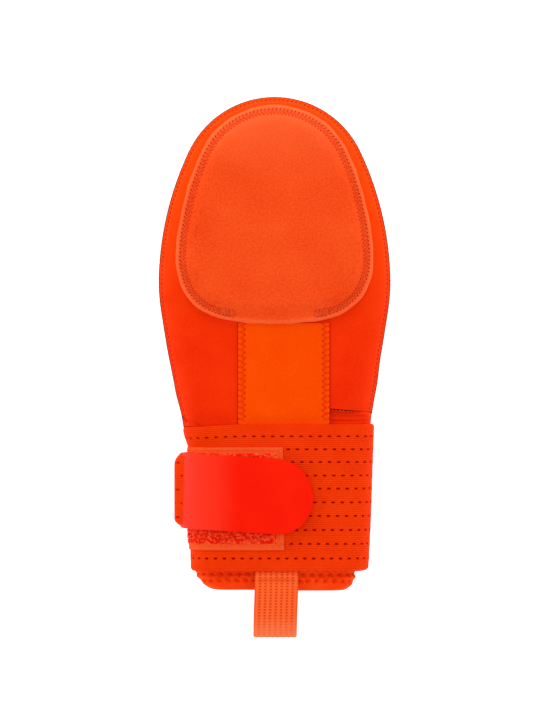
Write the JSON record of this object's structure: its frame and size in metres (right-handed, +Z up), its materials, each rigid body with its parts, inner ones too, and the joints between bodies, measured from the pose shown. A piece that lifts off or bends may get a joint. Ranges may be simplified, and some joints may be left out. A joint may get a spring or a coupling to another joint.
{
  "type": "sliding mitt",
  "caption": "Padded neoprene sliding mitt for a runner's hand, with pads over the hand, an elastic wrist band with a hook-and-loop tab and a webbing pull loop.",
  "frame": {"origin": "on the surface that the mitt lies on, palm side down, below the middle of its outline", "axes": "+Y towards the fingertips, +Z up from the palm to the back of the hand, +X to the right"},
  "size_m": [0.1206, 0.2808, 0.0411],
  "materials": {
    "neoprene": "matte",
    "brushed_fabric": "matte",
    "suede": "matte",
    "elastic": "matte",
    "loop_fastener": "matte",
    "hook_fastener": "matte",
    "tab_rubber": "satin",
    "webbing": "satin",
    "thread": "satin",
    "plate": "satin",
    "foam": "matte"
  },
  "bodies": {
    "mitt": {"front_shell": "neoprene", "palm_shell": "neoprene", "edge_overlock": "thread", "centre_strip": "suede", "strip_stitching": "thread", "panel_seam": "thread", "front_pad_cover": "brushed_fabric", "front_pad_plate": "plate", "front_pad_foam": "foam", "front_pad_stitching": "thread", "palm_pad_cover": "brushed_fabric", "palm_pad_plate": "plate", "palm_pad_foam": "foam", "palm_pad_stitching": "thread", "cuff_sleeve": "neoprene", "cuff_hem": "neoprene", "hem_stitching": "thread", "wrist_band": "elastic", "loop_patch": "loop_fastener", "loop_pile": "loop_fastener", "patch_stitching": "thread", "strap_tail_back": "elastic", "tail_stitching": "thread", "loop_anchor": "webbing"},
    "tab": {"strap_tail_front": "elastic", "tab_cover": "tab_rubber", "hook_tape": "hook_fastener", "tab_stitching": "thread"},
    "loop": {"pull_loop": "webbing", "pull_loop_bartack": "thread"}
  },
  "joints": [
    {"name": "tab_peel", "type": "hinge", "parent": "mitt", "child": "tab", "pos_m": [-0.05225, -0.063, 0.024], "axis": [0, -1, 0], "range_deg": [0, 180]},
    {"name": "pull_loop_swing", "type": "hinge", "parent": "mitt", "child": "loop", "pos_m": [0.0007, -0.1072, 0.0354], "axis": [-1, 0, 0], "range_deg": [0, 150]}
  ]
}
